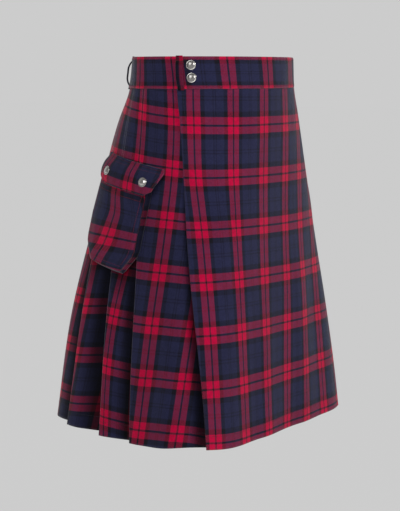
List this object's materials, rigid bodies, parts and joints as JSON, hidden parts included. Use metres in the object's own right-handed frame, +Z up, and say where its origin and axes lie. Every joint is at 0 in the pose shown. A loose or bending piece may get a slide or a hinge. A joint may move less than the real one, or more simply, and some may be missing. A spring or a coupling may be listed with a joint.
{
  "type": "utility kilt",
  "caption": "Worn-shape tartan utility kilt: flat front apron, pleated sides and back, waistband with belt loops and studs, flapped cargo pockets; waist and hem open.",
  "frame": {"origin": "middle of the waistband, at mid height, where the wearer's waist holds the kilt up", "axes": "+Z up, the front faces -Y, +X is the wearer's left"},
  "size_m": [0.4493, 0.4244, 0.6222],
  "materials": {
    "tartan_cloth": "brushed twill tartan in red, navy and black",
    "band_cloth": "the same twill, doubled and topstitched",
    "pocket_cloth": "the same twill, edges topstitched",
    "stud_metal": "polished nickel plate"
  },
  "bodies": {
    "root": {"front_apron": "tartan_cloth", "pleated_panel_right": "tartan_cloth", "pleated_panel_left": "tartan_cloth", "waistband_front": "band_cloth", "waistband_back": "band_cloth", "belt_loop_right_front": "band_cloth", "belt_loop_right_back": "band_cloth", "belt_loop_centre_back": "band_cloth", "belt_loop_left_back": "band_cloth", "belt_loop_left_front": "band_cloth", "pocket_bag_right": "pocket_cloth", "pocket_bag_left": "pocket_cloth", "pocket_flap_right": "pocket_cloth", "pocket_flap_left": "pocket_cloth", "flap_stud_right_front": "stud_metal", "flap_stud_right_back": "stud_metal", "flap_stud_left_front": "stud_metal", "flap_stud_left_back": "stud_metal", "band_stud_right_upper": "stud_metal", "band_stud_right_lower": "stud_metal", "band_stud_left_upper": "stud_metal", "band_stud_left_lower": "stud_metal"}
  },
  "joints": []
}
